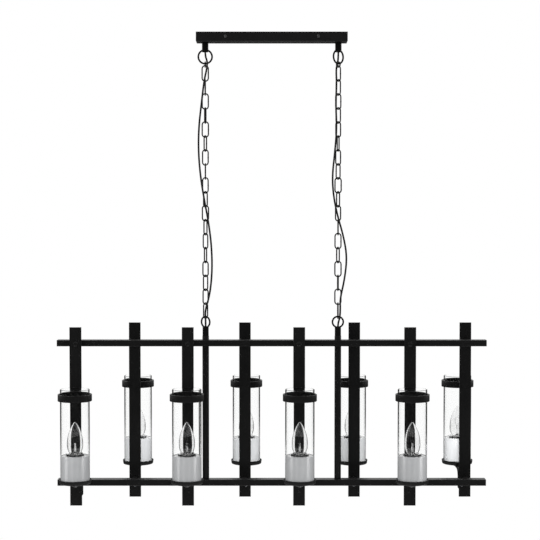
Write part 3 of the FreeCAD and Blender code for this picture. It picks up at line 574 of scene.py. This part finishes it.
# %% Candle lines
candles = range(1, 9)
glass_gap = 0.4
candle_line, floor_height = [], []
for number in candles:
    low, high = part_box("glass_%d" % number)
    candle_line.append([500 * (low.x + high.x), 500 * (low.y + high.y), 0])
    floor_height.append(1000 * low.z - glass_gap)
candle_line, floor_height = np.array(candle_line), np.array(floor_height)
on_floor = candle_line + np.stack([0 * floor_height, 0 * floor_height, floor_height], 1)
front, back = -1, 1
row_of = np.sign(candle_line[:, 1]).astype(int)
print("candle lines at", np.round(candle_line[:, 0], 1).tolist(), "in rows", row_of.tolist())

# %% [markdown]
# ## Clear glass
# The cylinders are plain blown glass: almost colourless, with grey outlines where the wall is seen edge
# on and a faint waviness. Real thickness gives these outlines by itself, so the wall is modelled on
# both sides, but it bends light less than real glass, so that they stay thin and pale. A transparent
# skin would be quicker, but has no outlines and bends no light. Shadow rays pass through, because a
# light that has to be bent would leave the sleeves inside too dark. The lowest part, beside the opal
# sleeve, is etched to a satin white like the sleeve's.

# %% Glass finishes
def clear(name, tint, wave, depth, shadow, bend):
    """Glass of a tint that drifts slowly, waved by stretched noise; shadow rays see a plain tint."""
    glass = Finish(name)
    drift = glass.noise(9.0, 2.0)
    solid = glass.coat(
        Base_Color=glass.mix(drift, tint, grey(1.0)), Roughness=0.002 * drift, IOR=bend,
        Transmission_Weight=1.0, Normal=glass.bump(glass.noise(wave, 1.0, (1, 1, 0.2)), depth))
    passing = glass.node("ShaderNodeBsdfTransparent", {}, {"Color": grey(shadow)})[0]
    is_shadow = glass.node("ShaderNodeLightPath")[1]
    return glass.end(glass.node("ShaderNodeMixShader", {}, {0: is_shadow, 1: solid, 2: passing})[0])


def etched():
    """Satin white: a haze of two close greys under a soft coat."""
    skin = Finish("etched_white")
    haze = skin.noise(40.0, 3.0)
    return skin.end(skin.coat(
        Base_Color=skin.mix(haze, (0.36, 0.367, 0.375, 1), (0.43, 0.436, 0.442, 1)),
        Roughness=0.45 + 0.1 * haze, Coat_Weight=1.0, Coat_Roughness=0.26))


cylinder_glass = clear("cylinder_glass", (0.985, 0.99, 0.988, 1), 14.0, 0.000005, 0.97, 1.14)
lamp_glass = clear("lamp_glass", (0.985, 0.985, 0.985, 1), 30.0, 0.00001, 0.96, 1.5)
etched_white = etched()
print("made", cylinder_glass.name, lamp_glass.name, "and", etched_white.name)

# %% Glass cylinders
glass_radius, glass_wall, glass_high, etched_high, seam = 32.2, 2.4, 206.0, 61.2, 0.02
bore, glass_top = glass_radius - glass_wall, glass_high + glass_gap
melted, cut = 0.96, 0.05
clear_part = turned(rounded([(bore, etched_high), (glass_radius, etched_high), (glass_radius, glass_top),
                             (bore, glass_top)], (cut, cut, melted, melted), 7), 128)
etched_part = turned(rounded([(bore, glass_gap), (glass_radius, glass_gap),
                              (glass_radius, etched_high - seam), (bore, etched_high - seam)],
                             (melted, melted, cut, cut), 7), 128)
etched_bands = {front: [], back: []}
for number, spot, row in zip(candles, on_floor, row_of):
    body, stands_for = "glass_cylinder_%d" % number, ["glass_%d" % number]
    dress(piece("clear_part_%d" % number, [copies(clear_part, spot)], body, stands_for,
                sharp=80), cylinder_glass)
    band = piece("etched_part_%d" % number, [copies(etched_part, spot)], body, stands_for)
    etched_bands[row].append(dress(band, etched_white))

# %% [markdown]
# ## Rings round the glasses
# A rolled band holds each glass upright, welded to a short strut whose tab is screwed to the bar. The
# band could be cut from a tube with a Solidify modifier; turned as an outline its edges are rounded at
# once. Strut and tab are straight, so a rounded rectangle is swept along them.

# %% Straps, and where the bars are
def strap(wide, high, start, end, edge=0.6):
    """A rounded rectangle, wide across and high upwards, swept from start to end."""
    a, b = wide / 2, high / 2
    section = rounded([(-a, -b), (a, -b), (a, b), (-a, b)], edge)
    return swept(np.linspace(start, end, 4), section, (0, 0, 1))


def bar_middle(number):
    """The x of a bar's middle and the height of its top end, in millimetres."""
    low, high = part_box("bar_%d" % number)
    return 500 * (low.x + high.x), 1000 * high.z


print("bars at", [round(bar_middle(number)[0], 1) for number in candles])

# %% Bands, struts and tabs
ring_inner, ring_outer, ring_high, below_bar_top = 34.4, 37.4, 15.0, 156.0
strut_wide, strut_high, strut_start, into_ring = 8.0, 10.0, 40.5, 2.2
tab_wide, tab_start, tab_end = 23.0, 39.5, 42.0
ring_shells = []
band = turned(rounded([(ring_inner, -ring_high / 2), (ring_outer, -ring_high / 2),
                       (ring_outer, ring_high / 2), (ring_inner, ring_high / 2)], 0.7), 112)
for number, (x, y, _), side in zip(candles, candle_line, row_of):
    bar_x, bar_top = bar_middle(number)
    height = bar_top - below_bar_top + ring_high / 2
    beside = abs(x - bar_x) + strut_wide / 2
    reach = abs(y) - math.sqrt(ring_outer ** 2 - beside ** 2) + into_ring
    ring_shells += [
        copies(band, at(x, y, height)),
        strap(strut_wide, strut_high, (bar_x, side * strut_start, height), (bar_x, side * reach, height)),
        strap(tab_wide, ring_high, (bar_x, side * tab_start, height), (bar_x, side * tab_end, height), 0.8)]
dress(piece("rings_dressed", ring_shells, "frame", ["glass_rings"]), satin_black)

# %% [markdown]
# ## Dishes
# Each glass stands in a shallow spun cup whose wall flares to a rolled rim. Spinning leaves soft
# corners, so the outline is rounded more where the wall turns up and at the rim than at the hole.

# %% Spun dishes
dish_hole, dish_inner, dish_wall, dish_flare, dish_high = 5.0, 33.2, 1.5, 1.5, 8.0
dish_outer = dish_inner + dish_wall
dish = turned(rounded([(dish_hole, -dish_wall), (dish_outer, -dish_wall),
                       (dish_outer + dish_flare, dish_high), (dish_inner + dish_flare, dish_high),
                       (dish_inner, 0.0), (dish_hole, 0.0)],
                      (0.3, 2.4, 0.7, 0.7, 0.8, 0.3), 7), 112)
dress(piece("dishes_dressed", [copies(dish, on_floor)], "frame", ["candle_dishes"]),
      satin_black)


# %% [markdown]
# ## Opal sleeves
# A short sleeve of satin opal glass stands inside each cylinder like the stub of a candle and hides the
# lampholder. It is white, but soft and slightly hazy, with broad bands where it mirrors the lamps. Its
# colour has painted shade near its foot, a little darker where less light gets in. A plain white skin
# would lose the bands; a fully transparent one would show the holder.

# %% Sleeve finish
def opal():
    """White under a satin coat, with painted shade at the foot: the tone falls by nearly a third from
    34 mm above the floors to 4 mm below them."""
    skin = Finish("opal_satin")
    height = skin.node("ShaderNodeSeparateXYZ", {}, {0: skin.place()})[2]
    low = float(floor_height.mean()) / 1000
    # painted shade: the colour darkens towards each sleeve's foot, where less light gets in
    painted_foot_shade = skin.node("ShaderNodeMapRange", {"interpolation_type": "SMOOTHSTEP"},
                     {0: height, 1: low - 0.004, 2: low + 0.034, 3: 0.0, 4: 1.0})[0]
    haze = skin.noise(35.0, 3.0)
    tone = painted_foot_shade * 0.9 + haze * 0.1
    return skin.end(skin.coat(
        Base_Color=skin.mix(tone, (0.34, 0.345, 0.35, 1), (0.50, 0.505, 0.51, 1)),
        Roughness=0.40 + 0.1 * haze,
        Specular_IOR_Level=0.5, Coat_Weight=0.8 + 0.2 * haze, Coat_Roughness=0.24,
        Normal=skin.bump(skin.noise(900.0, 2.0), 0.00002)))


opal_satin = opal()
print("made", opal_satin.name)

# %% Sleeves
sleeve_inner, sleeve_outer, sleeve_mouth = 27.4, 29.4, 20.0
sleeve_foot, shoulder_low, sleeve_high = 0.05, 59.0, 61.0
sleeve = turned(rounded([(sleeve_inner, sleeve_foot), (sleeve_outer, sleeve_foot),
                         (sleeve_outer, sleeve_high), (sleeve_mouth, sleeve_high),
                         (sleeve_mouth, shoulder_low), (sleeve_inner, shoulder_low)],
                        (0.4, 0.4, 2.9, 0.7, 0.7, 1.5), 8), 128)
sleeves = {}
for row, name in ((front, "front"), (back, "back")):
    sleeves[row] = piece("sleeves_" + name, [copies(sleeve, on_floor[row_of == row])], "frame",
                         ["candle_sleeves"])
    dress(sleeves[row], opal_satin)

# %% [markdown]
# ## Lampholders
# What shows of a lampholder is its crown: eight petals of bright metal round the bulb's neck. The
# petals are one closed band round the mouth whose radius is a base plus a wave of eight, and whose tips
# curl up with the same wave. Eight separate petals would need seams; the wave gives them none.

# %% Petals
holder_top = 1000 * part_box("lampholders")[1].z - floor_height.max()
petals, petal_out, petal_up = 8, 5.2, 2.4


def crown(top):
    """Outline (radius, height) round the mouth. At angle t its outer points go out by petal_out and up by
    petal_up, times (1 + cos 8t) / 2 to the power 0.7, which makes the petals a little broader."""
    outline = rounded([(12.1, top - 4.0), (15.4, top - 2.6), (15.6, top - 0.8), (12.4, top - 0.6)],
                      (0.4, 0.8, 0.8, 0.5), 7)
    r, z = outline.T
    t = np.linspace(0, 2 * np.pi, 24 * petals, endpoint=False)[:, None]
    wave = ((1 + np.cos(petals * t)) / 2) ** 0.7
    share = np.clip((r - 12.6) / 2.8, 0, 1)[None]
    radius = r[None] + petal_out * wave * share
    height = z[None] + petal_up * wave * share ** 2
    return shell(np.stack([radius * np.cos(t), radius * np.sin(t), height + 0 * radius], -1), ring=True)


def plating():
    """Bright plating: metal whose tone and roughness vary with a fine cloud."""
    skin = Finish("holder_bright")
    cloud = skin.noise(160.0, 3.0)
    return skin.end(skin.coat(
        Base_Color=skin.mix(cloud, grey(0.35), grey(0.75)), Metallic=1.0,
        Roughness=0.06 + 0.14 * cloud, Normal=skin.bump(skin.noise(700.0, 2.0), 0.00003)))


# %% Set the lampholders
holder_radius, holder_bore, tail_radius = 13.0, 7.4, 4.9
holder_body = turned(rounded([(holder_bore, 14.0), (holder_radius, 0.3), (holder_radius, holder_top - 3.0),
                              (holder_bore, holder_top - 4.0)], (0.2, 1.0, 0.4, 0.5)), 64)
holder_tail = turned(tube_outline(tail_radius, cord_bore, -9.0, 16.0, 0.3), 36)
holder_bright = plating()
holder_parts = [copies(part, on_floor) for part in (holder_body, holder_tail, crown(holder_top))]
dress(piece("lampholders_dressed", holder_parts, "frame", ["lampholders"]), holder_bright)

# %% [markdown]
# ## Candle bulbs
# A candle bulb is a thin clear envelope on a screw cap. Inside stand a pressed glass stem, two wires
# and the filament between them, and those dark threads are what makes a clear bulb look real. The
# envelope is an outline of two arcs and a drawn tip, turned once for its outside and once, a wall
# thinner, for its inside. The cap's thread is the turned surface with a wave that climbs as it turns.

# %% The envelope
def arc_through(start, middle, end, steps=18):
    """Even points on the circle through three points. Its centre is as far from all three, which is two
    linear equations."""
    a, b, c = (np.array(p, float) for p in (start, middle, end))
    centre = np.linalg.solve(2 * np.array([b - a, c - a]), [b @ b - a @ a, c @ c - a @ a])
    angles = np.unwrap([math.atan2(*(p - centre)[::-1]) for p in (a, b, c)])
    t = np.linspace(angles[0], angles[2], steps)
    return centre + np.linalg.norm(a - centre) * np.stack([np.cos(t), np.sin(t)], 1)


bulb_high, bulb_neck, bulb_belly, belly_high, bulb_wall = 74.0, 7.6, 17.5, 25.16, 0.8


def envelope_outline(inset):
    """Neck, belly and tip of the glass, inset from its outside."""
    top, neck, belly = bulb_high - inset, bulb_neck - inset, bulb_belly - inset
    lower = arc_through((neck, 0), (neck + 0.76 * (belly - neck), 0.44 * belly_high), (belly, belly_high))
    upper = arc_through((belly, belly_high), (0.79 * belly, (belly_high + top) / 2), (1.6, top - 0.96))
    return np.vstack([lower, upper[1:], [(1.1, top - 0.42), (0.55, top - 0.08), (0.05, top)]])


envelope = turned(np.vstack([envelope_outline(0)[::-1], envelope_outline(bulb_wall)]), 72, bored=False)
glass_stem = turned([(0.05, 0.1), (6.0, 0.1), (5.7, 1.5), (3.9, 5.0), (2.6, 10.0), (2.1, 18.0), (2.0, 24.0),
                     (2.5, 25.4), (2.3, 26.6), (1.2, 27.4), (0.05, 27.6)], 32, bored=False)
print("the envelope has", len(envelope[0]), "points")

# %% Wires and filament
post_out, post_top, arch_high = 5.4, 41.0, 6.5
coil_radius, coil_turns = 0.45, 40
lead_wires = [swept([(s * 1.2, 0, 20.0), (s * 1.5, 0, 28.0), (s * 4.6, 0, 36.0),
                     (s * post_out, 0, post_top)], circle(0.28, 8), (0, 1, 0)) for s in (-1, 1)]
share = np.linspace(0, 1, 220)
arch, winding = np.pi * share, 2 * np.pi * coil_turns * share
coil = np.stack([-post_out * np.cos(arch) + coil_radius * np.cos(winding), coil_radius * np.sin(winding),
                 post_top + arch_high * np.sin(arch)], 1)
filament = swept(coil, circle(0.12, 5), (0.31, 0.94, 0.12))
print("the filament is", round(length_of(coil), 1), "mm of wire")

# %% Screw cap and metals
cap_long, cap_radius = 20.0, 7.0


def screw_cap(low, high, radius, pitch=2.8, depth=0.32):
    """Turned wall whose radius is radius - depth * (1 - cos(2 pi z / pitch - t)) / 2, so its wave climbs
    one pitch in a turn; the wave fades at both ends."""
    z = np.linspace(low, high, 60)[:, None]
    t = np.linspace(0, 2 * np.pi, 48, endpoint=False)[None]
    fade = np.clip(np.minimum(z - low, high - z) / 2.0, 0, 1)
    r = radius - depth * fade * (1 - np.cos(2 * np.pi * z / pitch - t)) / 2
    wall = np.stack([r * np.cos(t), r * np.sin(t), z + 0 * t], -1)
    foot_radius, foot_height = [3.4, 5.8], [low - 3.5, low - 0.3]
    foot = np.stack([np.outer(foot_radius, np.cos(t)), np.outer(foot_radius, np.sin(t)),
                     np.outer(foot_height, np.ones(48))], -1)
    return shell(np.vstack([foot, wall]))


def wire_finish(name, dark, light, rough):
    """Drawn metal: tone varies along the wire."""
    skin = Finish(name)
    run = skin.noise(240.0, 2.0)
    return skin.end(skin.coat(
        Base_Color=skin.mix(run, dark, light), Metallic=1.0, Roughness=rough + 0.1 * run))


filament_grey = wire_finish("filament_grey", grey(0.10), grey(0.22), 0.3)
cap_nickel = wire_finish("cap_nickel", (0.48, 0.46, 0.42, 1), (0.66, 0.64, 0.60, 1), 0.22)
print("made", filament_grey.name, "and", cap_nickel.name)

# %% Set the bulbs
bulb_base = 1000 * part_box("bulb_1")[1].z - floor_height[0] - bulb_high
bulb_turn = 23.0
bulb_parts = (("envelope", [envelope], "bulb_glass", lamp_glass),
              ("stem", [glass_stem], "bulb_glass", lamp_glass),
              ("wires", lead_wires + [filament], "dark_chrome", filament_grey),
              ("cap", [screw_cap(-cap_long, 0.0, cap_radius)], "dark_chrome", cap_nickel))
for number, spot in zip(candles, on_floor):
    for name, parts, slot, finish in bulb_parts:
        shells = [copies(part, spot + [0, 0, bulb_base], bulb_turn * number) for part in parts]
        dress(piece("bulb_%s_%d" % (name, number), shells, "candle_bulb_%d" % number,
                    ["bulb_%d" % number], sharp=50), finish)


# %% [markdown]
# ## CAD nodes that stay
# Rails, bars, canopy, arms, screws and nuts are already the right shape, with their holes and rounded
# edges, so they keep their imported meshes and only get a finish. Modelling them again would only add a
# chance to be wrong. The bracket and the nuts are zinc-plated; most of them are hidden.

# %% Zinc plate, and the nodes' finishes
def zinc():
    """Plated steel: bright, slightly blue and cloudy."""
    skin = Finish("zinc_plate")
    cloud = skin.noise(120.0, 4.0)
    return skin.end(skin.coat(
        Base_Color=skin.mix(cloud, (0.42, 0.43, 0.45, 1), (0.62, 0.63, 0.65, 1)), Metallic=1.0,
        Roughness=0.28 + 0.2 * cloud, Normal=skin.bump(skin.noise(800.0, 2.0), 0.00002)))


screw_grey = wire_finish("screw_grey", grey(0.16), grey(0.30), 0.35)
zinc_plate = zinc()
plated = ("ceiling_bracket", "canopy_locknuts", "earth_screw", "arm_nuts", "lampholder_nuts")
not_black = {"canopy_leads": core_brown, "stem_leads": core_brown, "terminal_block": block_white,
             "canopy_screws": screw_grey, **dict.fromkeys(plated, zinc_plate)}
shown = {name: node for name, node in nodes.items() if not node.hide_render}
for name, node in shown.items():
    node.data.materials.clear()
    dress(node, not_black.get(name, satin_black))
print("CAD nodes that stay:", sorted(shown))

# %% [markdown]
# ## Studio
# The photograph has a white ground and soft light. Three boxes, two beside the camera and one above,
# light everything softly. Two tall strips draw the two upright bands on the white sleeves in front, two
# broad boxes light these from the sides, and one lamp fills the row behind. These five light only the
# sleeves and the etched parts round them, and none shows as a mirror image on the clear glass.
# The white ground comes from the world: a ray that only passed through glass sees it at full strength,
# and one that was scattered or mirrored on its way sees a dimmer room. In mirrors that room is white
# behind and above and dark in front and below, so the black faces stay black and the glass clear.

# %% The white ground and the dark room
scene.world = bpy.data.worlds.new("studio")
sky = Finish("studio", scene.world)
toward = sky.node("ShaderNodeTexCoord")[0]
ahead, upward = sky.node("ShaderNodeSeparateXYZ", {}, {0: toward})[1:3]
path = sky.node("ShaderNodeLightPath")
# Outputs 10 and 11 count how often the ray was scattered and how often it was mirrored.
scattered, mirrored = path[10] > 0.5, path[11] > 0.5


def ramp(value, low, high, start, end):
    """Goes softly from start to end while value goes from low to high."""
    return sky.node("ShaderNodeMapRange", {"interpolation_type": "SMOOTHSTEP"},
                    {0: value, 1: low, 2: high, 3: start, 4: end})[0]


mirror_room = ramp(ahead, -0.55, 0.25, 0.08, 1.0) * ramp(upward, -0.12, 0.06, 0.03, 1.0)
dim_room = mirrored * mirror_room + (1 - mirrored) * 0.45
either = sky.node("ShaderNodeMath", {"operation": "MAXIMUM"}, {0: scattered, 1: mirrored})[0]
strength = 1 - either + either * dim_room
backdrop = sky.node("ShaderNodeBackground", {}, {"Color": (1, 1, 1, 1), "Strength": strength})[0]
sky.node("ShaderNodeOutputWorld", {}, {"Surface": backdrop})
print("the world has", len(sky.tree.nodes), "nodes")

# %% Softboxes
heart = Vector((0.0, 0.0, -0.75))


def softbox(name, place, wide, high, watts, only=()):
    """An area lamp at place that points at the pendant's heart, unseen by the camera. One that lights
    only some objects also mirrors in them; the others are soft light without a mirror image."""
    light = bpy.data.lights.new(name, "AREA")
    light.shape, light.size, light.size_y, light.energy = "RECTANGLE", wide, high, watts
    lamp = bpy.data.objects.new(name, light)
    lamp.location = place
    lamp.rotation_euler = (heart - Vector(place)).to_track_quat("-Z", "Y").to_euler()
    lamp.visible_camera = False
    lamp.visible_glossy = lamp.visible_transmission = bool(only)
    scene.collection.objects.link(lamp)
    if only:
        lit_ones = bpy.data.collections.new(name + "_lights")
        for made in only:
            lit_ones.objects.link(made)
        lamp.light_linking.receiver_collection = lit_ones
    return watts


front_row, back_row = (etched_bands[row] + [sleeves[row]] for row in (front, back))
powers = [softbox("left_box", (-1.55, -2.7, -0.6), 0.75, 2.2, 10.0),
          softbox("right_box", (1.25, -2.9, -0.6), 0.45, 2.2, 6.0),
          softbox("top_box", (0.0, -0.4, 1.3), 2.4, 1.6, 20.0),
          softbox("left_strip", (-1.3, -3.0, -0.9), 0.35, 1.6, 8.0, front_row),
          softbox("right_strip", (1.0, -3.1, -0.9), 0.25, 1.6, 5.0, front_row),
          softbox("left_side", (-2.5, -1.1, -0.7), 0.9, 1.8, 22.0, front_row),
          softbox("right_side", (2.5, -1.1, -0.7), 0.9, 1.8, 30.0, front_row),
          softbox("back_fill", (0.0, -2.6, -0.3), 2.6, 0.8, 230.0, back_row)]
print(len(powers), "lamps of", sum(powers), "W together")

# %% [markdown]
# ## Floor
# A pendant hangs far above its floor. The floor here is a pale disc at room depth that catches a faint
# shadow in views from above; its top face shows mostly white to the camera, and from below it lets
# the view through.

# %% A pale floor
floor_radius, floor_sides, floor_height_m = 3.2, 96, -2.4
floor_finish = Finish("pale_floor")
speck = floor_finish.noise(3.0, 3.0)
matt = floor_finish.coat(Base_Color=floor_finish.mix(speck, grey(0.86), grey(0.9)), Roughness=0.8)
glow = floor_finish.node("ShaderNodeEmission", {}, {"Color": (1, 1, 1, 1), "Strength": 1.0})[0]
camera_sees = floor_finish.node("ShaderNodeLightPath")[0]
lit = floor_finish.node("ShaderNodeMixShader", {}, {0: camera_sees * 0.6, 1: matt, 2: glow})[0]
hole = floor_finish.node("ShaderNodeBsdfTransparent")[0]
from_below = floor_finish.node("ShaderNodeNewGeometry")[6]
top_only = floor_finish.node("ShaderNodeMixShader", {}, {0: from_below, 1: lit, 2: hole})[0]
floor_mesh = bpy.data.meshes.new("floor")
rim = np.column_stack([circle(floor_radius, floor_sides), np.full(floor_sides, floor_height_m)])
floor_mesh.from_pydata(rim.tolist(), [], [list(range(floor_sides))])
floor = bpy.data.objects.new("floor", floor_mesh)
scene.collection.objects.link(floor)
dress(floor, floor_finish.end(top_only))
print("the floor is", 2 * floor_radius, "m wide, at", floor_height_m, "m")

# %% [markdown]
# ## Colour view
# The picture's colours are shown with the Standard view transform.

# %% Standard view
scene.view_settings.view_transform = "Standard"
